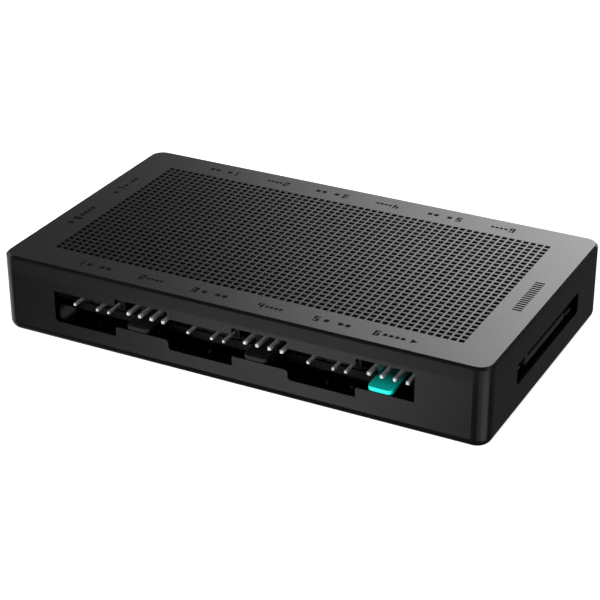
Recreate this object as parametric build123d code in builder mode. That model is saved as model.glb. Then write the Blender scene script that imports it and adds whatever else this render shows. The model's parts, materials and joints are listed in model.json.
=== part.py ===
import os
from build123d import *

# ---------------------------------------------------------------- dimensions
# overall case, millimetres; origin at the bottom centre, +X towards the power
# inlet end, -Y towards the front row of headers, +Z up
LENGTH = 101.6
WIDTH = 58.5
HEIGHT = 16.3
CORNER_R = 3.0            # vertical corner radius
TOP_CHAMFER = 0.5         # bevel round the top face
BOTTOM_FILLET = 1.9       # rounded lower edge
WALL = 1.4
FLOOR = 1.6
PART_LINE = 13.2          # height where cover and tray meet
ROOF = 1.9                # thickness of the cover's top

# grid of square dimples in the cover
CELL_NX, CELL_NY = 58, 30
CELL_PX, CELL_PY = 1.485, 1.472
CELL = 1.08
CELL_DEPTH = 0.4
GRID_X, GRID_Y = 43.6, 22.7      # half size of the dimpled field
GRID_BASE = 1.1                  # thickness of the dimpled field

# header rows, repeated along X
STEP = 25.2
LIGHT_X0 = -31.79         # centre of the first 3-pin light header
FAN_X0 = -19.42           # centre of the first 4-pin fan header
PITCH = 2.54
FAN_PIN = 0.64            # square pins
LIGHT_PIN = 0.5
LIGHT_PIN_Z = 7.74
FAN_PIN_Z = 8.83
LIGHT_TIP = 2.1           # depth of pin tips behind the case face
FAN_TIP = 1.7
LIGHT_BODY = 6.3          # depth of header body front
FAN_BODY = 8.4
LIGHT_BODY_D = 2.5
FAN_BODY_D = 3.2
LIGHT_TAIL = 10.4         # depth of the solder tails
FAN_TAIL = 13.0
TAB_W = 4.9
TAB_T = 0.8
TAB_Z = 6.58              # underside of the friction tab
TAB_TIP = 0.2
TAB_X = -0.92             # tab centre, by the second pin
TAB_R = 0.95              # rounded front corners of the tab

# stepped windows in the long walls
WIN_X0, WIN_X1 = -38.67, 36.97
LIGHT_Z0, LIGHT_Z1 = 4.53, 11.03
FAN_Z0, FAN_Z1 = 6.50, 12.45
FAN_XL, FAN_XR = -24.95, -13.41   # first fan bay

# inputs at the left end
LIGHT_IN_Y = 9.5
FAN_IN_Y = -7.0

# power inlet at the right end
INLET_Y0, INLET_Y1 = -15.4, 16.5
INLET_Z0, INLET_Z1 = 6.3, 10.72
INLET_Y = -0.05           # centre of the tongue
TONGUE_L = 20.3
TONGUE_Z0, TONGUE_T = 7.90, 1.25
TONGUE_TIP = 0.55
RAILS = [(12.8, 8.0, 2.65), (-13.2, 8.75, 1.65)]   # centre y, centre z, width
RAIL_T = 0.55

# circuit board
BOARD_TOP = 5.8
BOARD_T = 1.6
BOARD_X0, BOARD_X1 = -44.0, 43.4
BOARD_Y = 22.4

# fasteners
SCREW_X, SCREW_Y = 46.6, 25.1
BOARD_SCREWS = [(-40.6, 1.2), (38.6, 18.2), (38.6, -18.2)]
BOARD_RESTS = [(-38.8, 18.2), (-38.8, -18.2)]

HALF_L, HALF_W = LENGTH / 2, WIDTH / 2
BOARD_BOT = BOARD_TOP - BOARD_T

os.makedirs("parts", exist_ok=True)


def save(part, name):
    part.label = name
    export_step(part, f"parts/{name}.step", write_pcurves=False)


# ------------------------------------------------- header places and frames
# each header is drawn with its mating side towards -Y and its case face at
# local y = 0, then set on one of four sides by a plane
def side_plane(side, offset):
    if side == "front":
        return Plane((offset, -HALF_W, 0), x_dir=(1, 0, 0), z_dir=(0, 0, 1))
    if side == "rear":
        return Plane((offset, HALF_W, 0), x_dir=(-1, 0, 0), z_dir=(0, 0, 1))
    return Plane((-HALF_L, offset, 0), x_dir=(0, -1, 0), z_dir=(0, 0, 1))


LIGHTS = [("front_light_%d" % (i + 1), "front", LIGHT_X0 + i * STEP) for i in range(3)]
LIGHTS += [("rear_light_%d" % (i + 1), "rear", LIGHT_X0 + i * STEP) for i in range(3)]
LIGHTS += [("input_light", "left", LIGHT_IN_Y)]
FANS = [("front_fan_%d" % (i + 1), "front", FAN_X0 + i * STEP) for i in range(3)]
FANS += [("rear_fan_%d" % (i + 1), "rear", FAN_X0 + i * STEP) for i in range(3)]
FANS += [("input_fan", "left", FAN_IN_Y)]
LIGHT_PINS = [-1.5 * PITCH, 0.5 * PITCH, 1.5 * PITCH]
FAN_PINS = [-1.5 * PITCH, -0.5 * PITCH, 0.5 * PITCH, 1.5 * PITCH]
ROWS = [(n, s, o, "light") for n, s, o in LIGHTS] + [(n, s, o, "fan") for n, s, o in FANS]


# ------------------------------------------------------------------ base tray
WIN_R_SMALL, WIN_R_LARGE = 0.3, 0.7
# corners with the larger radius: right-hand steps of the first two fan bays
# and the lower left corner
LARGE_CORNERS = [(WIN_X0, LIGHT_Z0)]
for i in range(2):
    LARGE_CORNERS += [(FAN_XR + i * STEP, FAN_Z0), (FAN_XR + i * STEP, LIGHT_Z0)]


def is_large(v):
    return any(abs(v.X - a) < 0.01 and abs(v.Y - b) < 0.01 for a, b in LARGE_CORNERS)


def window_outline():
    pts = [(WIN_X0, LIGHT_Z0)]
    for i in range(3):
        a, b = FAN_XL + i * STEP, FAN_XR + i * STEP
        pts += [(a, LIGHT_Z0), (a, FAN_Z0)]
        if i < 2:
            pts += [(b, FAN_Z0), (b, LIGHT_Z0)]
    pts += [(WIN_X1, FAN_Z0), (WIN_X1, FAN_Z1)]
    for i in (2, 1, 0):
        a, b = FAN_XL + i * STEP, FAN_XR + i * STEP
        if i < 2:
            pts += [(b, LIGHT_Z1), (b, FAN_Z1)]
        pts += [(a, FAN_Z1), (a, LIGHT_Z1)]
    pts += [(WIN_X0, LIGHT_Z1)]
    return pts


with BuildPart() as base_tray:
    with BuildSketch(Plane.XY):
        RectangleRounded(LENGTH, WIDTH, CORNER_R)
    extrude(amount=PART_LINE)
    fillet(base_tray.faces().sort_by(Axis.Z)[0].edges(), BOTTOM_FILLET)
    with BuildSketch(Plane.XY.offset(FLOOR)):
        RectangleRounded(LENGTH - 2 * WALL, WIDTH - 2 * WALL, CORNER_R - WALL)
    extrude(amount=PART_LINE, mode=Mode.SUBTRACT)
    # corner screw columns, joined to the walls
    with BuildSketch(Plane.XY.offset(FLOOR)):
        for sx in (-1, 1):
            for sy in (-1, 1):
                with Locations((sx * SCREW_X, sy * SCREW_Y)):
                    Circle(2.6)
                with Locations((sx * (SCREW_X + 1.6), sy * SCREW_Y), (sx * SCREW_X, sy * (SCREW_Y + 1.5))):
                    Rectangle(3.0, 3.0)
    extrude(amount=PART_LINE - FLOOR - 1.6)
    # board posts
    with BuildSketch(Plane.XY.offset(FLOOR)):
        with Locations(*BOARD_SCREWS, *BOARD_RESTS):
            Circle(2.2)
    extrude(amount=BOARD_BOT - FLOOR)
    # low frames round the two holding magnets
    with BuildSketch(Plane.XY.offset(FLOOR)):
        with Locations((-22, 0), (22, 0)):
            Rectangle(23.0, 13.0)
            Rectangle(20.2, 10.2, mode=Mode.SUBTRACT)
    extrude(amount=1.4)
    with BuildSketch(Plane.XY.offset(FLOOR)):
        with Locations((-22, 0), (22, 0)):
            Rectangle(20.2, 10.2)
    extrude(amount=-0.9, mode=Mode.SUBTRACT)
    # stiffening ribs under the board
    with BuildSketch(Plane.XY.offset(FLOOR)):
        with Locations((0, 14), (0, -14)):
            Rectangle(64.0, 1.0)
        Rectangle(1.0, 27.0)
    extrude(amount=1.2)
    # screw holes from below: head recess and clearance shank
    with BuildSketch(Plane.XY):
        with GridLocations(2 * SCREW_X, 2 * SCREW_Y, 2, 2):
            Circle(2.0)
    extrude(amount=2.4, mode=Mode.SUBTRACT)
    with BuildSketch(Plane.XY):
        with GridLocations(2 * SCREW_X, 2 * SCREW_Y, 2, 2):
            Circle(1.1)
    extrude(amount=PART_LINE, mode=Mode.SUBTRACT)
    # pilot holes for the board screws
    with BuildSketch(Plane.XY.offset(BOARD_BOT)):
        with Locations(*BOARD_SCREWS):
            Circle(0.8)
    extrude(amount=-2.2, mode=Mode.SUBTRACT)
    # stepped windows in both long walls
    with BuildSketch(Plane((0, -HALF_W - 1, 0), x_dir=(1, 0, 0), z_dir=(0, -1, 0))) as window:
        with BuildLine():
            Polyline(*window_outline(), close=True)
        make_face()
        fillet([v for v in window.vertices() if not is_large(v)], WIN_R_SMALL)
        fillet([v for v in window.vertices() if is_large(v)], WIN_R_LARGE)
    extrude(amount=-(WALL + 1.0), mode=Mode.SUBTRACT)
    with BuildSketch(Plane((0, HALF_W - WALL, 0), x_dir=(1, 0, 0), z_dir=(0, -1, 0))) as window_rear:
        with BuildLine():
            Polyline(*window_outline(), close=True)
        make_face()
        fillet([v for v in window_rear.vertices() if not is_large(v)], WIN_R_SMALL)
        fillet([v for v in window_rear.vertices() if is_large(v)], WIN_R_LARGE)
    extrude(amount=-(WALL + 1.0), mode=Mode.SUBTRACT)
    # two windows in the left wall
    with BuildSketch(Plane((-HALF_L - 1, 0, 0), x_dir=(0, -1, 0), z_dir=(-1, 0, 0))):
        with Locations((-LIGHT_IN_Y, (LIGHT_Z0 + LIGHT_Z1) / 2)):
            RectangleRounded(13.4, LIGHT_Z1 - LIGHT_Z0, 0.45)
        with Locations((-FAN_IN_Y, (FAN_Z0 + FAN_Z1) / 2)):
            RectangleRounded(11.6, FAN_Z1 - FAN_Z0, 0.45)
    extrude(amount=-(WALL + 1.0), mode=Mode.SUBTRACT)
    # inlet slot in the right wall
    with BuildSketch(Plane((HALF_L + 1, 0, 0), x_dir=(0, 1, 0), z_dir=(1, 0, 0))):
        with Locations(((INLET_Y0 + INLET_Y1) / 2, (INLET_Z0 + INLET_Z1) / 2)):
            RectangleRounded(INLET_Y1 - INLET_Y0, INLET_Z1 - INLET_Z0, 0.5)
    extrude(amount=-(WALL + 1.0), mode=Mode.SUBTRACT)
save(base_tray.part, "base_tray")

# ------------------------------------------------------------------ top cover
# the dimpled field is one closed shell: a face with square openings, and four
# sides and a floor for each dimple
roof_faces, roof_holes = [], []
z_top, z_floor, z_base = HEIGHT, HEIGHT - CELL_DEPTH, HEIGHT - GRID_BASE
h = CELL / 2
for i in range(CELL_NX):
    for j in range(CELL_NY):
        cx = (i - (CELL_NX - 1) / 2) * CELL_PX
        cy = (j - (CELL_NY - 1) / 2) * CELL_PY
        q = [(cx - h, cy - h), (cx + h, cy - h), (cx + h, cy + h), (cx - h, cy + h)]
        roof_holes.append(Wire.make_polygon([(*p, z_top) for p in q], close=True))
        roof_faces.append(Face(Wire.make_polygon([(*p, z_floor) for p in q], close=True)))
        for k in range(4):
            a, b = q[k], q[(k + 1) % 4]
            roof_faces.append(Face(Wire.make_polygon([(*a, z_floor), (*b, z_floor), (*b, z_top), (*a, z_top)], close=True)))
q = [(-GRID_X, -GRID_Y), (GRID_X, -GRID_Y), (GRID_X, GRID_Y), (-GRID_X, GRID_Y)]
roof_faces.append(Face(Wire.make_polygon([(*p, z_top) for p in q], close=True), roof_holes))
roof_faces.append(Face(Wire.make_polygon([(*p, z_base) for p in q], close=True)))
for k in range(4):
    a, b = q[k], q[(k + 1) % 4]
    roof_faces.append(Face(Wire.make_polygon([(*a, z_base), (*b, z_base), (*b, z_top), (*a, z_top)], close=True)))
dimpled_field = Solid(Shell(roof_faces))

with BuildPart() as top_cover:
    with BuildSketch(Plane.XY.offset(PART_LINE)):
        RectangleRounded(LENGTH, WIDTH, CORNER_R)
    extrude(amount=HEIGHT - PART_LINE)
    chamfer(top_cover.faces().sort_by(Axis.Z)[-1].edges(), TOP_CHAMFER)
    with BuildSketch(Plane.XY.offset(PART_LINE)):
        RectangleRounded(LENGTH - 2 * WALL, WIDTH - 2 * WALL, CORNER_R - WALL)
    extrude(amount=HEIGHT - PART_LINE - ROOF, mode=Mode.SUBTRACT)
    # locating lip that drops inside the tray walls
    with BuildSketch(Plane.XY.offset(HEIGHT - ROOF)):
        RectangleRounded(LENGTH - 2 * WALL - 0.3, WIDTH - 2 * WALL - 0.3, CORNER_R - WALL - 0.15)
        RectangleRounded(LENGTH - 2 * WALL - 2.3, WIDTH - 2 * WALL - 2.3, CORNER_R - WALL - 1.15, mode=Mode.SUBTRACT)
    extrude(amount=-(HEIGHT - ROOF - PART_LINE + 0.6))
    # screw posts, stepped over the tray columns
    with BuildSketch(Plane.XY.offset(HEIGHT - ROOF)):
        with GridLocations(2 * SCREW_X, 2 * SCREW_Y, 2, 2):
            Circle(2.5)
    extrude(amount=-(HEIGHT - ROOF - (PART_LINE - 1.6)))
    with BuildSketch(Plane.XY.offset(PART_LINE - 1.6)):
        with GridLocations(2 * SCREW_X, 2 * SCREW_Y, 2, 2):
            Circle(0.85)
    extrude(amount=3.4, mode=Mode.SUBTRACT)
    # long stiffening ribs inside the roof
    with BuildSketch(Plane.XY.offset(HEIGHT - ROOF)):
        with Locations((0, 8), (0, -8)):
            Rectangle(70.0, 1.0)
    extrude(amount=-0.9)
    # seat of the dimpled field
    with BuildSketch(Plane.XY.offset(HEIGHT)):
        Rectangle(2 * GRID_X, 2 * GRID_Y)
    extrude(amount=-GRID_BASE, mode=Mode.SUBTRACT)
    add(dimpled_field, clean=False)
save(top_cover.part, "top_cover")


# ----------------------------------------------------------------- the headers
def pin_profile(tip, pin_z, tail, width):
    r = width / 2
    bot = BOARD_BOT - 1.1
    return [(tip, pin_z - r), (tail - r, pin_z - r), (tail - r, bot), (tail + r, bot), (tail + r, pin_z + r), (tip, pin_z + r)]


for name, side, offset, kind in ROWS:
    base = side_plane(side, offset)
    light = kind == "light"
    pins = LIGHT_PINS if light else FAN_PINS
    tip, pin_z, tail = (LIGHT_TIP, LIGHT_PIN_Z, LIGHT_TAIL) if light else (FAN_TIP, FAN_PIN_Z, FAN_TAIL)
    width = LIGHT_PIN if light else FAN_PIN
    with BuildPart() as contact_pins:
        for px in pins:
            with BuildSketch(Plane(base.from_local_coords(Vector(px - width / 2, 0, 0)), x_dir=base.y_dir, z_dir=base.x_dir)):
                with BuildLine():
                    Polyline(*pin_profile(tip, pin_z, tail, width), close=True)
                make_face()
            extrude(amount=width)
        tips = contact_pins.edges().filter_by_position(
            Axis((0, 0, 0), tuple(base.y_dir)),
            base.origin.dot(base.y_dir) + tip - 0.01, base.origin.dot(base.y_dir) + tip + 0.01)
        chamfer(tips, width * 0.27)
    save(contact_pins.part, name + "_pins")

    with BuildPart() as header:
        if light:
            with BuildSketch(base.offset(BOARD_TOP)):
                with Locations((0, LIGHT_BODY + LIGHT_BODY_D / 2)):
                    Rectangle(4 * PITCH, LIGHT_BODY_D)
            extrude(amount=LIGHT_PIN_Z + PITCH / 2 - BOARD_TOP)
            # notches between the four positions
            with BuildSketch(base.offset(BOARD_TOP)):
                for nx in (-PITCH, 0, PITCH):
                    for ny in (LIGHT_BODY, LIGHT_BODY + LIGHT_BODY_D):
                        with Locations((nx, ny)):
                            Rectangle(0.7, 0.7, rotation=45)
            extrude(amount=5, mode=Mode.SUBTRACT)
            # the front of the body stands clear of the board on a rear foot
            with BuildSketch(base.offset(BOARD_TOP)):
                with Locations((0, LIGHT_BODY + 0.8)):
                    Rectangle(4 * PITCH + 1, 1.7)
            extrude(amount=0.8, mode=Mode.SUBTRACT)
        else:
            with BuildSketch(base.offset(BOARD_TOP)):
                with Locations((0, FAN_BODY + FAN_BODY_D / 2)):
                    Rectangle(4 * PITCH, FAN_BODY_D)
            extrude(amount=FAN_PIN_Z + 1.75 - BOARD_TOP)
            # friction tab reaching forward under the pins
            with BuildSketch(base.offset(TAB_Z)) as tab:
                with Locations((TAB_X, (TAB_TIP + FAN_BODY + 0.5) / 2)):
                    Rectangle(TAB_W, FAN_BODY + 0.5 - TAB_TIP)
                fillet(tab.vertices().group_by(Axis.Y)[0], TAB_R)
            extrude(amount=TAB_T)
            # relief under the body leaves two feet
            with BuildSketch(base.offset(BOARD_TOP)):
                with Locations((0, FAN_BODY + FAN_BODY_D / 2)):
                    Rectangle(2 * PITCH, FAN_BODY_D + 1)
            extrude(amount=0.4, mode=Mode.SUBTRACT)
        # square holes that grip the pins
        for px in pins:
            with BuildSketch(Plane(base.from_local_coords(Vector(px, 0, pin_z)), x_dir=base.x_dir, z_dir=base.y_dir)):
                Rectangle(width, width)
            extrude(amount=20, mode=Mode.SUBTRACT)
    save(header.part, name + "_header")

# --------------------------------------------------------------- circuit board
with BuildPart() as circuit_board:
    with BuildSketch(Plane.XY.offset(BOARD_BOT)):
        with Locations(((BOARD_X0 + BOARD_X1) / 2, 0)):
            RectangleRounded(BOARD_X1 - BOARD_X0, 2 * BOARD_Y, 1.0)
    extrude(amount=BOARD_T)
    # round plated holes for the header tails
    for name, side, offset, kind in ROWS:
        base = side_plane(side, offset)
        light = kind == "light"
        with BuildSketch(base.offset(BOARD_BOT)):
            with Locations(*[(px, LIGHT_TAIL if light else FAN_TAIL) for px in (LIGHT_PINS if light else FAN_PINS)]):
                Circle(0.5)
        extrude(amount=BOARD_T, mode=Mode.SUBTRACT)
    # screw holes
    with BuildSketch(Plane.XY.offset(BOARD_BOT)):
        with Locations(*BOARD_SCREWS):
            Circle(1.15)
    extrude(amount=BOARD_T, mode=Mode.SUBTRACT)
save(circuit_board.part, "circuit_board")

# ---------------------------------------------------------------- power inlet
INLET_BACK = 9.6          # depth of the inlet body behind the case face
INLET_WALL = 5.4          # depth of the wall that carries the tongue
TONGUE_Y0 = INLET_Y - TONGUE_L / 2
CONTACT_Y = [INLET_Y + 0.55 + (k - 7) * 1.27 for k in range(15)]
with BuildPart() as power_inlet:
    with BuildSketch(Plane.XY.offset(BOARD_TOP)):
        with Locations((HALF_L - (INLET_WALL + INLET_BACK) / 2, INLET_Y)):
            Rectangle(INLET_BACK - INLET_WALL, 29.4)
    extrude(amount=INLET_Z1 - BOARD_TOP)
    # tongue with an upright key at one end
    with BuildSketch(Plane((HALF_L - INLET_WALL - 0.5, 0, 0), x_dir=(0, 1, 0), z_dir=(1, 0, 0))):
        with Locations((INLET_Y, TONGUE_Z0 + TONGUE_T / 2)):
            Rectangle(TONGUE_L, TONGUE_T)
        with Locations((TONGUE_Y0 + 0.55, TONGUE_Z0 + 1.2)):
            Rectangle(1.1, 2.4)
    extrude(amount=INLET_WALL + 0.5 - TONGUE_TIP)
    # guide rails beside both ends of the tongue
    with BuildSketch(Plane((HALF_L - INLET_WALL - 0.5, 0, 0), x_dir=(0, 1, 0), z_dir=(1, 0, 0))):
        for ry, rz, rw in RAILS:
            with Locations((ry, rz)):
                Rectangle(rw, RAIL_T)
    extrude(amount=INLET_WALL + 0.4 - TONGUE_TIP)
    # seats for the flat contacts on top of the tongue and through the body
    for cy in CONTACT_Y:
        with BuildSketch(Plane.XY.offset(TONGUE_Z0 + TONGUE_T)):
            with Locations((HALF_L - (TONGUE_TIP + 0.5 + INLET_BACK + 0.2) / 2, cy)):
                Rectangle(INLET_BACK + 0.2 - TONGUE_TIP - 0.5, 0.7)
        extrude(amount=-0.2, mode=Mode.SUBTRACT)
save(power_inlet.part, "power_inlet_body")

with BuildPart() as power_contacts:
    zc = TONGUE_Z0 + TONGUE_T
    xs, xb = HALF_L - TONGUE_TIP - 0.5, HALF_L - INLET_BACK
    for cy in CONTACT_Y:
        with BuildSketch(Plane((0, cy + 0.35, 0), x_dir=(1, 0, 0), z_dir=(0, -1, 0))):
            with BuildLine():
                Polyline((xs, zc - 0.2), (xs, zc), (xb - 0.5, zc), (xb - 0.5, BOARD_TOP + 0.2), (xb - 2.2, BOARD_TOP + 0.2),
                         (xb - 2.2, BOARD_TOP), (xb - 0.3, BOARD_TOP), (xb - 0.3, zc - 0.2), close=True)
            make_face()
        extrude(amount=0.7)
save(power_contacts.part, "power_inlet_contacts")

# ------------------------------------------------------- parts on the board
with BuildPart() as controller_chip:
    with BuildSketch(Plane.XY.offset(BOARD_TOP + 0.15)):
        Rectangle(7.0, 7.0)
    extrude(amount=1.4)
    chamfer(controller_chip.faces().sort_by(Axis.Z)[-1].edges(), 0.15)
save(controller_chip.part, "controller_chip")

with BuildPart() as controller_leads:
    for turn in range(4):
        lead_plane = Plane.XY.rotated((0, 0, 90 * turn))
        for k in range(8):
            with BuildSketch(Plane(lead_plane.from_local_coords(Vector(0, (k - 3.5) * 0.8 + 0.16, 0)), x_dir=lead_plane.x_dir, z_dir=-lead_plane.y_dir)):
                with BuildLine():
                    Polyline((3.5, BOARD_TOP + 0.75), (4.0, BOARD_TOP + 0.75), (4.0, BOARD_TOP + 0.16), (4.6, BOARD_TOP + 0.16), (4.6, BOARD_TOP),
                             (3.84, BOARD_TOP), (3.84, BOARD_TOP + 0.59), (3.5, BOARD_TOP + 0.59), close=True)
                make_face()
            extrude(amount=0.32)
save(controller_leads.part, "controller_leads")

with BuildPart() as driver_chips:
    with BuildSketch(Plane.XY.offset(BOARD_TOP)):
        with Locations((-18, 0), (18, 0)):
            Rectangle(3.9, 4.9)
    extrude(amount=1.5)
    chamfer(driver_chips.faces().group_by(Axis.Z)[-1].edges(), 0.12)
save(driver_chips.part, "driver_chips")

with BuildPart() as capacitors:
    with BuildSketch(Plane.XY.offset(BOARD_TOP)):
        with Locations((29.0, 7.5), (29.0, -7.5)):
            RectangleRounded(6.6, 6.6, 0.7)
    extrude(amount=0.7)
    with BuildSketch(Plane.XY.offset(BOARD_TOP + 0.7)):
        with Locations((29.0, 7.5), (29.0, -7.5)):
            Circle(3.1)
    extrude(amount=5.0)
    fillet(capacitors.faces().group_by(Axis.Z)[-1].edges(), 0.4)
save(capacitors.part, "capacitors")

with BuildPart() as resistors:
    with BuildSketch(Plane.XY.offset(BOARD_TOP)):
        with GridLocations(7.0, 12.0, 5, 2):
            Rectangle(2.0, 1.25)
    extrude(amount=0.55)
save(resistors.part, "resistors")

with BuildPart() as fuse:
    with BuildSketch(Plane.XY.offset(BOARD_TOP)):
        with Locations((34.5, 0)):
            Rectangle(3.2, 4.6)
    extrude(amount=0.9)
save(fuse.part, "fuse")

# ----------------------------------------------------------------- fasteners
with BuildPart() as case_screws:
    with BuildSketch(Plane.XY.offset(0.5)):
        with GridLocations(2 * SCREW_X, 2 * SCREW_Y, 2, 2):
            Circle(1.9)
    extrude(amount=1.9)
    with BuildSketch(Plane.XY.offset(2.4)):
        with GridLocations(2 * SCREW_X, 2 * SCREW_Y, 2, 2):
            Circle(0.85)
    extrude(amount=PART_LINE - 1.6 - 2.4 + 2.9)
    # cross recess in each head
    with BuildSketch(Plane.XY.offset(0.5)):
        with GridLocations(2 * SCREW_X, 2 * SCREW_Y, 2, 2):
            Rectangle(2.2, 0.5)
            Rectangle(0.5, 2.2)
    extrude(amount=1.0, mode=Mode.SUBTRACT)
save(case_screws.part, "case_screws")

with BuildPart() as board_screws:
    with BuildSketch(Plane.XY.offset(BOARD_TOP)):
        with Locations(*BOARD_SCREWS):
            Circle(1.9)
    extrude(amount=1.2)
    with BuildSketch(Plane.XY.offset(BOARD_TOP)):
        with Locations(*BOARD_SCREWS):
            Circle(0.8)
    extrude(amount=-(BOARD_T + 2.0))
    with BuildSketch(Plane.XY.offset(BOARD_TOP + 1.2)):
        with Locations(*BOARD_SCREWS):
            Rectangle(2.0, 0.45)
            Rectangle(0.45, 2.0)
    extrude(amount=-0.7, mode=Mode.SUBTRACT)
save(board_screws.part, "board_screws")

with BuildPart() as magnets:
    with BuildSketch(Plane.XY.offset(FLOOR - 0.9)):
        with Locations((-22, 0), (22, 0)):
            Rectangle(20.0, 10.0)
    extrude(amount=2.0)
    chamfer(magnets.faces().group_by(Axis.Z)[-1].edges(), 0.2)
save(magnets.part, "magnets")
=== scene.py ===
import json
import math
import bpy
import bmesh
from mathutils import Matrix, Vector


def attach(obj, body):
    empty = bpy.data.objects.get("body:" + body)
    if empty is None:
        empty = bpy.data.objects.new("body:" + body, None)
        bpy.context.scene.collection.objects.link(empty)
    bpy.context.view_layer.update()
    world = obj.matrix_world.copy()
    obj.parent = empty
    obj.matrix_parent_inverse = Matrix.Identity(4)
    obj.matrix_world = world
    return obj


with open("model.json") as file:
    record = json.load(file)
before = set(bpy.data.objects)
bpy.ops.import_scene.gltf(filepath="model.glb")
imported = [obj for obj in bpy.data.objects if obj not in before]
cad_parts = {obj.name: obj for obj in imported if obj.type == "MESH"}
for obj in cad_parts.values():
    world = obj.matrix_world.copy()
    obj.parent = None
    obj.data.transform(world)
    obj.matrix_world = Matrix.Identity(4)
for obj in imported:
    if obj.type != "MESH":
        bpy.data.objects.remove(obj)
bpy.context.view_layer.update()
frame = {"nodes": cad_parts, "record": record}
MM = 0.001
scene = bpy.context.scene
nodes_by_name = frame["nodes"]

# light of the studio: direction towards each panel, half angles where it is
# full and where it ends, and its strength
ROOM = 0.03
FLOOR_GLOW = 0.95
PANELS = [
    ((0.047, 0.905, 0.423), 4, 32, 4.8),
    ((-0.42, 0.81, 0.42), 5, 40, 0.16),
    ((-0.40, -0.78, -0.48), 0, 7, 1.35),
    ((0.28, 0.83, -0.475), 15, 45, 0.04),
    ((0.80, -0.30, -0.45), 6, 26, 0.8),
    ((-0.20, -0.95, 0.24), 8, 18, 16.0),
    # weak side panels that shape the faces turned away from the camera
    ((0.93, -0.05, 0.36), 12, 34, 1.3),
    ((-0.93, 0.0, 0.36), 10, 30, 1.0),
    ((-0.88, 0.05, -0.47), 10, 36, 0.7),
    ((-0.44, 0.76, -0.47), 8, 28, 0.7),
    ((0.52, -0.71, -0.47), 5, 20, 0.35),
]
# a dark flag that keeps the first panel off the right bevel
FLAG = ((0.46, 0.79, 0.41), 14, 26, 1.0)

# overall sizes in metres, as in the CAD
LENGTH, WIDTH, HEIGHT = 101.6 * MM, 58.5 * MM, 16.3 * MM


# ------------------------------------------------------------ material helpers
def new_mat(name):
    m = bpy.data.materials.new(name)
    m.use_nodes = True
    nt = m.node_tree
    return m, nt, nt.nodes["Principled BSDF"]


def add(nt, kind, **kw):
    n = nt.nodes.new(kind)
    for k, v in kw.items():
        setattr(n, k, v)
    return n


def coords(nt):
    return add(nt, "ShaderNodeTexCoord").outputs["Object"]


def noise(nt, vec, scale, detail=3.0, rough=0.5):
    n = add(nt, "ShaderNodeTexNoise")
    n.inputs["Scale"].default_value = scale
    n.inputs["Detail"].default_value = detail
    n.inputs["Roughness"].default_value = rough
    nt.links.new(vec, n.inputs["Vector"])
    return n.outputs["Fac"]


def ramp(nt, fac, stops):
    r = add(nt, "ShaderNodeValToRGB")
    els = r.color_ramp.elements
    while len(els) < len(stops):
        els.new(0.5)
    for e, (p, c) in zip(els, stops):
        e.position = p
        e.color = (c, c, c, 1) if isinstance(c, float) else (*c, 1)
    nt.links.new(fac, r.inputs["Fac"])
    return r.outputs["Color"]


def rng(nt, fac, lo, hi, a, b):
    n = add(nt, "ShaderNodeMapRange")
    n.inputs["From Min"].default_value = lo
    n.inputs["From Max"].default_value = hi
    n.inputs["To Min"].default_value = a
    n.inputs["To Max"].default_value = b
    nt.links.new(fac, n.inputs["Value"])
    return n.outputs["Result"]


def mixc(nt, fac, a, b):
    n = add(nt, "ShaderNodeMix", data_type="RGBA")
    for key, v in (("A", a), ("B", b)):
        s = [i for i in n.inputs if i.name == key and i.type == "RGBA"][0]
        if isinstance(v, tuple):
            s.default_value = (*v, 1)
        else:
            nt.links.new(v, s)
    nt.links.new(fac, n.inputs[0])
    return [o for o in n.outputs if o.type == "RGBA"][0]


def bump(nt, bsdf, height, strength, dist):
    b = add(nt, "ShaderNodeBump")
    b.inputs["Strength"].default_value = strength
    b.inputs["Distance"].default_value = dist
    nt.links.new(height, b.inputs["Height"])
    nt.links.new(b.outputs["Normal"], bsdf.inputs["Normal"])
    return b


def edge_wear(nt):
    # brighter, slightly polished convex edges
    g = add(nt, "ShaderNodeNewGeometry")
    return rng(nt, g.outputs["Pointiness"], 0.52, 0.60, 0.0, 1.0)


def math_node(nt, op, a, b=None):
    n = add(nt, "ShaderNodeMath", operation=op)
    for i, x in enumerate((a, b)):
        if x is None:
            continue
        if isinstance(x, (int, float)):
            n.inputs[i].default_value = x
        else:
            nt.links.new(x, n.inputs[i])
    return n.outputs[0]


def xyz(nt, v):
    n = add(nt, "ShaderNodeSeparateXYZ")
    nt.links.new(v, n.inputs[0])
    return n.outputs


# 1 on every surface that lies behind the outer skin of the case walls; the tray is darkened and dulled there as
# painted shade
def case_interior_shade(nt, v):
    x, y, z = xyz(nt, v)
    r = 3.0 * MM
    qx = math_node(nt, "MAXIMUM", math_node(nt, "SUBTRACT", math_node(nt, "ABSOLUTE", x), LENGTH / 2 - r), 0.0)
    qy = math_node(nt, "MAXIMUM", math_node(nt, "SUBTRACT", math_node(nt, "ABSOLUTE", y), WIDTH / 2 - r), 0.0)
    d = math_node(nt, "SQRT", math_node(nt, "ADD", math_node(nt, "MULTIPLY", qx, qx), math_node(nt, "MULTIPLY", qy, qy)))
    shade_depth = rng(nt, d, r - 0.16 * MM, r - 0.06 * MM, 1.0, 0.0)
    return math_node(nt, "MULTIPLY", shade_depth, rng(nt, z, 1.95 * MM, 2.1 * MM, 0.0, 1.0))


# 1 on header faces well behind the outer walls, where the header is darkened and dulled as painted shade
def header_wall_shade(nt, v):
    x, y, z = xyz(nt, v)
    fy = rng(nt, math_node(nt, "ABSOLUTE", y), WIDTH / 2 - 5.4 * MM, WIDTH / 2 - 4.4 * MM, 1.0, 0.0)
    fx = rng(nt, x, -LENGTH / 2 + 4.4 * MM, -LENGTH / 2 + 5.4 * MM, 0.0, 1.0)
    return math_node(nt, "MULTIPLY", fy, fx)


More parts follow.
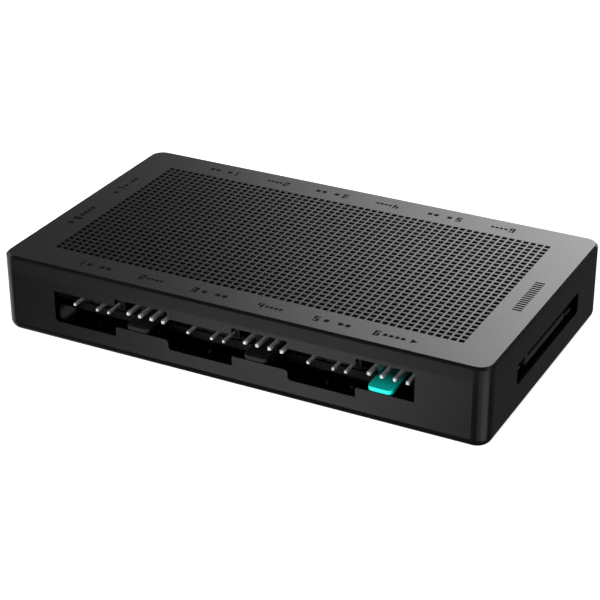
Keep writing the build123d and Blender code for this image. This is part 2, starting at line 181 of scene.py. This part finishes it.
# rises from 0 at the free end of the coloured tab to 1 at its root; the teal is darkened there as painted shade
def teal_root_shade(nt, v):
    x, y, z = xyz(nt, v)
    return rng(nt, math_node(nt, "ABSOLUTE", y), WIDTH / 2 - 6.2 * MM, WIDTH / 2 - 1.6 * MM, 1.0, 0.0)


# 1 inside the dimples of the cover
def inside_dimple(nt, v):
    x, y, z = xyz(nt, v)
    low = rng(nt, z, HEIGHT - 0.05 * MM, HEIGHT - 0.02 * MM, 1.0, 0.0)
    ox = math_node(nt, "LESS_THAN", math_node(nt, "ABSOLUTE", x), 43.5 * MM)
    oy = math_node(nt, "LESS_THAN", math_node(nt, "ABSOLUTE", y), 22.6 * MM)
    return math_node(nt, "MULTIPLY", low, math_node(nt, "MULTIPLY", ox, oy))


# moulded plastic: fine spark-eroded grain, soft cloudy gloss changes, faint
# rubbed patches; inside the optional mask the colour is scaled down and the specular level changed as painted shade,
# and the roughness raised
def plastic(name, col, col2, rough, grain=1.0, spec=0.5, edge=0.25, shade_rough_mask_fn=None, shade_spec=0.02, shade_depth=0.25, rougher=0.45):
    m, nt, b = new_mat(name)
    v = coords(nt)
    cloud = noise(nt, v, 70.0, 3.0)
    fine = noise(nt, v, 5200.0, 2.0, 0.6)
    mid = noise(nt, v, 1400.0, 3.0, 0.6)
    tone = mixc(nt, rng(nt, cloud, 0.3, 0.7, 0.0, 1.0), col, col2)
    speck = mixc(nt, rng(nt, fine, 0.45, 0.75, 0.0, 0.35), tone, tuple(min(1.0, c * 1.9 + 0.001) for c in col2))
    worn_and_shaded = mixc(nt, rng(nt, edge_wear(nt), 0.0, 1.0, 0.0, edge), speck, tuple(min(1.0, c * 2.5 + 0.004) for c in col2))
    rub = noise(nt, v, 28.0, 5.0, 0.65)
    rgh = rng(nt, rub, 0.25, 0.75, rough - 0.025, rough + 0.025)
    b.inputs["Specular IOR Level"].default_value = spec
    if shade_rough_mask_fn is not None:
        # painted shade inside the mask: darker colour and lower specular level; the roughness rises there too
        shade_rough_weight = shade_rough_mask_fn(nt, v)
        worn_and_shaded = mixc(nt, shade_rough_weight, worn_and_shaded, tuple(c * shade_depth for c in col))
        rgh = math_node(nt, "ADD", rgh, math_node(nt, "MULTIPLY", shade_rough_weight, rougher))
        nt.links.new(rng(nt, shade_rough_weight, 0.0, 1.0, spec, shade_spec), b.inputs["Specular IOR Level"])
    nt.links.new(worn_and_shaded, b.inputs["Base Color"])
    nt.links.new(rgh, b.inputs["Roughness"])
    h = math_node(nt, "ADD", fine, mid)
    bump(nt, b, h, 0.25 * grain, 0.00003)
    return m


def metal(name, col, col2, rough, scale=900.0, metallic=1.0):
    m, nt, b = new_mat(name)
    v = coords(nt)
    n = noise(nt, v, scale, 3.0)
    nt.links.new(mixc(nt, rng(nt, n, 0.3, 0.7, 0.0, 1.0), col, col2), b.inputs["Base Color"])
    nt.links.new(rng(nt, noise(nt, v, scale * 2.3, 2.0), 0.3, 0.7, rough - 0.06, rough + 0.08), b.inputs["Roughness"])
    b.inputs["Metallic"].default_value = metallic
    bump(nt, b, n, 0.15, 0.00001)
    return m


def pin_mat():
    # tin plating; the rounded tips are painted near white as a painted highlight
    m, nt, b = new_mat("pin_metal")
    v = coords(nt)
    x, y, z = xyz(nt, v)
    tip_y = rng(nt, math_node(nt, "ABSOLUTE", y), WIDTH / 2 - 2.75 * MM, WIDTH / 2 - 2.35 * MM, 0.0, 1.0)
    tip_x = rng(nt, x, -LENGTH / 2 + 2.35 * MM, -LENGTH / 2 + 2.75 * MM, 1.0, 0.0)
    tip_highlight = math_node(nt, "MAXIMUM", tip_y, tip_x)
    n = noise(nt, v, 900.0, 3.0)
    shaft = mixc(nt, rng(nt, n, 0.3, 0.7, 0.0, 1.0), (0.50, 0.50, 0.49), (0.60, 0.60, 0.59))
    # painted highlight: the tips are mixed to near white
    nt.links.new(mixc(nt, tip_highlight, shaft, (0.97, 0.97, 0.96)), b.inputs["Base Color"])
    nt.links.new(rng(nt, noise(nt, v, 2100.0, 2.0), 0.3, 0.7, 0.30, 0.42), b.inputs["Roughness"])
    b.inputs["Metallic"].default_value = 0.45
    bump(nt, b, n, 0.15, 0.00001)
    return m


def board_mat():
    m, nt, b = new_mat("board_laminate")
    v = coords(nt)
    br = add(nt, "ShaderNodeTexBrick")
    br.inputs["Scale"].default_value = 130.0
    br.inputs["Mortar Size"].default_value = 0.012
    # painted shade: laminate and mortar colours kept near black so the board inside the case reads as shaded
    br.inputs["Color1"].default_value = (0.002, 0.0025, 0.0025, 1)
    br.inputs["Color2"].default_value = (0.003, 0.0035, 0.0035, 1)
    br.inputs["Mortar"].default_value = (0.006, 0.007, 0.007, 1)
    nt.links.new(v, br.inputs["Vector"])
    nt.links.new(br.outputs["Color"], b.inputs["Base Color"])
    nt.links.new(rng(nt, noise(nt, v, 300.0), 0.3, 0.7, 0.36, 0.5), b.inputs["Roughness"])
    b.inputs["Specular IOR Level"].default_value = 0.2
    bump(nt, b, br.outputs["Fac"], 0.2, 0.00002)
    return m


mats = {
    "cover_plastic": plastic("cover_plastic", (0.0018, 0.0018, 0.0019), (0.0026, 0.0026, 0.0027), 0.24, 1.3, shade_rough_mask_fn=inside_dimple, shade_spec=0.5, shade_depth=1.0, rougher=0.22),
    # the tray, header and teal below take painted shade through their masks; the cover's dimples only get rougher
    "tray_plastic": plastic("tray_plastic", (0.0018, 0.0018, 0.0019), (0.0026, 0.0026, 0.0027), 0.17, 1.0, shade_rough_mask_fn=case_interior_shade),
    "header_plastic": plastic("header_plastic", (0.0045, 0.0045, 0.0045), (0.0065, 0.0065, 0.0065), 0.42, 0.6, shade_rough_mask_fn=header_wall_shade, shade_spec=0.25, shade_depth=0.6),
    "inlet_plastic": plastic("inlet_plastic", (0.008, 0.008, 0.0076), (0.011, 0.011, 0.010), 0.40, 0.6),
    "teal_plastic": plastic("teal_plastic", (0.0, 0.66, 0.55), (0.001, 0.72, 0.60), 0.38, 0.5, 0.5, 0.1, shade_rough_mask_fn=teal_root_shade, shade_spec=0.2, shade_depth=0.06),
    "pin_metal": pin_mat(),
    "board_laminate": board_mat(),
    "contact_gold": metal("contact_gold", (0.80, 0.56, 0.22), (0.86, 0.63, 0.28), 0.28),
    "chip_epoxy": plastic("chip_epoxy", (0.012, 0.012, 0.013), (0.016, 0.016, 0.017), 0.55, 1.2),
    "lead_metal": metal("lead_metal", (0.62, 0.62, 0.62), (0.72, 0.72, 0.71), 0.32),
    "capacitor_can": metal("capacitor_can", (0.74, 0.74, 0.75), (0.80, 0.80, 0.81), 0.34),
    "resistor_body": plastic("resistor_body", (0.02, 0.02, 0.024), (0.03, 0.03, 0.036), 0.35, 0.6),
    "fuse_body": plastic("fuse_body", (0.01, 0.09, 0.045), (0.014, 0.11, 0.055), 0.45, 0.8),
    "screw_metal": metal("screw_metal", (0.055, 0.055, 0.058), (0.08, 0.08, 0.083), 0.36),
    "magnet_nickel": metal("magnet_nickel", (0.66, 0.65, 0.62), (0.72, 0.71, 0.68), 0.22),
}
slot_of = {s["node"]: s["material_slot"] for s in frame["record"]["subparts"]}
for name, ob in nodes_by_name.items():
    ob.data.materials.clear()
    ob.data.materials.append(mats[slot_of[name]])


# ----------------------------------------------------------- printed port marks
# plain digits, pin maps and arrows, laid a hair above the cover's top face
ink, nt, b = new_mat("mark_ink")
v = coords(nt)
nt.links.new(ramp(nt, noise(nt, v, 900.0, 3.0), [(0.3, (0.0008, 0.0008, 0.0008)), (0.75, (0.002, 0.002, 0.002))]), b.inputs["Base Color"])
nt.links.new(rng(nt, noise(nt, v, 2200.0), 0.3, 0.7, 0.62, 0.74), b.inputs["Roughness"])
b.inputs["Specular IOR Level"].default_value = 0.04

SEG = {"1": "bc", "2": "abged", "3": "abgcd", "4": "fgbc", "5": "afgcd", "6": "afgedc", "7": "abc", "8": "abcdefg"}
INK_Z = HEIGHT + 0.00001


def stroke(bm, x0, y0, x1, y1, place):
    vs = [bm.verts.new(place(x, y)) for x, y in ((x0, y0), (x1, y0), (x1, y1), (x0, y1))]
    bm.faces.new(vs)


def digit(bm, ch, x, y, h, place):
    w, t = h * 0.60, h * 0.19
    boxes = {"a": (0, h - t, w, h), "b": (w - t, h / 2, w, h), "c": (w - t, 0, w, h / 2), "d": (0, 0, w, t), "e": (0, 0, t, h / 2),
             "f": (0, h / 2, t, h), "g": (0, h / 2 - t / 2, w, h / 2 + t / 2)}
    for s in SEG[ch]:
        x0, y0, x1, y1 = boxes[s]
        stroke(bm, x + x0, y + y0, x + x1, y + y1, place)


def marks():
    bm = bmesh.new()
    h = 1.85 * MM

    def placer(cx, cy, turn):
        c, s = math.cos(turn), math.sin(turn)
        return lambda x, y: (cx * MM + c * x - s * y, cy * MM + s * x + c * y, INK_Z)

    def pin_map(x, keep, pitch, side, p):
        for k in keep:
            stroke(bm, x + k * pitch, -side / 2, x + k * pitch + side, side / 2, p)

    def arrow(x, size, p):
        vs = [bm.verts.new(p(*q)) for q in ((x, -size / 2), (x + size * 0.87, 0.0), (x, size / 2))]
        bm.faces.new(vs)

    for i in range(3):
        for cy, turn, flip in ((-25.4, 0.0, 1), (25.3, math.pi, -1)):
            # light port: number and a four-place map with one place empty
            p = placer(-31.5 + 25.2 * i, cy, turn)
            digit(bm, str(2 * i + 1), -3.7 * MM, -h / 2, h, p)
            pin_map(-1.6 * MM, (0, 2, 3), 1.42 * MM, 0.95 * MM, p)
            # fan port: number and a four-place map
            p = placer(-18.9 + 25.2 * i, cy, turn)
            if i == 2 and flip == 1:
                p = placer(31.1, cy, turn)
                digit(bm, "6", -3.9 * MM, -h / 2, h, p)
                pin_map(-2.1 * MM, (0, 1, 2, 3), 1.15 * MM, 0.8 * MM, p)
                arrow(3.3 * MM, 1.45 * MM, p)
            else:
                digit(bm, str(2 * i + 2), -2.5 * MM, -h / 2, h, p)
                pin_map(-0.95 * MM, (0, 1, 2, 3), 0.93 * MM, 0.66 * MM, p)
    # the two inputs at the left end
    for cy, n, keep in ((9.5, "7", (0, 2, 3)), (-7.0, "8", (0, 1, 2, 3))):
        p = placer(-46.5, cy, math.pi / 2)
        arrow(-4.3 * MM, 1.45 * MM, p)
        digit(bm, n, -2.2 * MM, -h / 2, h, p)
        pin_map(-0.3 * MM, keep, 1.28 * MM, 0.85 * MM, p)
    # contact map of the power inlet
    p = placer(46.6, 0.05, math.pi / 2)
    for k in range(15):
        x = (k - 7) * 0.86 * MM
        stroke(bm, x - 0.22 * MM, -h / 2, x + 0.22 * MM, h / 2, p)
    me = bpy.data.meshes.new("port_marks")
    bm.to_mesh(me)
    bm.free()
    ob = bpy.data.objects.new("port_marks", me)
    scene.collection.objects.link(ob)
    me.materials.append(ink)
    return ob


port_marks = marks()
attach(port_marks, "root")

# ---------------------------------------------------------------- floor, lights
floor_mat, nt, b = new_mat("studio_floor")
v = coords(nt)
tone = ramp(nt, noise(nt, v, 6.0, 4.0), [(0.3, (0.90, 0.90, 0.90)), (0.7, (0.93, 0.93, 0.93))])
nt.links.new(tone, b.inputs["Base Color"])
nt.links.new(tone, b.inputs["Emission Color"])
b.inputs["Emission Strength"].default_value = FLOOR_GLOW
b.inputs["Roughness"].default_value = 0.9
b.inputs["Specular IOR Level"].default_value = 0.0
me = bpy.data.meshes.new("studio_floor")
bm = bmesh.new()
bmesh.ops.create_grid(bm, x_segments=4, y_segments=4, size=3.0)
bm.to_mesh(me)
bm.free()
floor = bpy.data.objects.new("studio_floor", me)
scene.collection.objects.link(floor)
me.materials.append(floor_mat)
floor.location = (0, 0, -0.00002)
floor.visible_glossy = False

# a soft studio round the object: broad soft panels in a dim room, white behind
world = bpy.data.worlds.new("studio")
scene.world = world
world.use_nodes = True
wnt = world.node_tree
bg = wnt.nodes["Background"]
bg.inputs["Strength"].default_value = 1.0
wdir = add(wnt, "ShaderNodeTexCoord").outputs["Generated"]


def panel(direction, inner, outer, strength):
    d = Vector(direction).normalized()
    n = add(wnt, "ShaderNodeVectorMath", operation="DOT_PRODUCT")
    wnt.links.new(wdir, n.inputs[0])
    n.inputs[1].default_value = d
    r = add(wnt, "ShaderNodeMapRange", interpolation_type="SMOOTHSTEP")
    r.inputs["From Min"].default_value = math.cos(math.radians(outer))
    r.inputs["From Max"].default_value = math.cos(math.radians(inner))
    r.inputs["To Min"].default_value = 0.0
    r.inputs["To Max"].default_value = strength
    wnt.links.new(n.outputs["Value"], r.inputs["Value"])
    return r.outputs["Result"]


flag = math_node(wnt, "SUBTRACT", 1.0, panel(*FLAG))
total = None
for args in PANELS:
    o = panel(*args)
    if total is None:
        total = math_node(wnt, "MULTIPLY", o, flag)
    else:
        sm = add(wnt, "ShaderNodeMath", operation="ADD")
        wnt.links.new(total, sm.inputs[0])
        wnt.links.new(o, sm.inputs[1])
        total = sm.outputs[0]
amb = add(wnt, "ShaderNodeMath", operation="ADD")
wnt.links.new(total, amb.inputs[0])
amb.inputs[1].default_value = ROOM
lp = add(wnt, "ShaderNodeLightPath")
pick = add(wnt, "ShaderNodeMix", data_type="FLOAT")
wnt.links.new(lp.outputs["Is Camera Ray"], pick.inputs[0])
wnt.links.new(amb.outputs[0], pick.inputs[2])
pick.inputs[3].default_value = 1.0
wnt.links.new(pick.outputs[0], bg.inputs["Color"])

# ---------------------------------------------------------------------- camera
CAM_POS = Vector((0.14592116, -0.28293030, 0.16900231))
CAM_F = 1816.785
cam = bpy.data.cameras.new("camera")
cam_ob = bpy.data.objects.new("camera", cam)
scene.collection.objects.link(cam_ob)
cam.sensor_width = 36.0
cam.lens = 36.0 * CAM_F / 600.0
cam.clip_start = 0.01
scene.camera = cam_ob
RIGHT = Vector((0.88846483, 0.45893683, -0.00268967))
DOWN = Vector((0.20840121, -0.40865563, -0.88857724))
FWD = Vector((-0.40889997, 0.78890909, -0.45871915))
m = Matrix((RIGHT, -DOWN, -FWD)).transposed().to_4x4()
m.translation = CAM_POS
cam_ob.matrix_world = m

scene.view_settings.view_transform = "Standard"
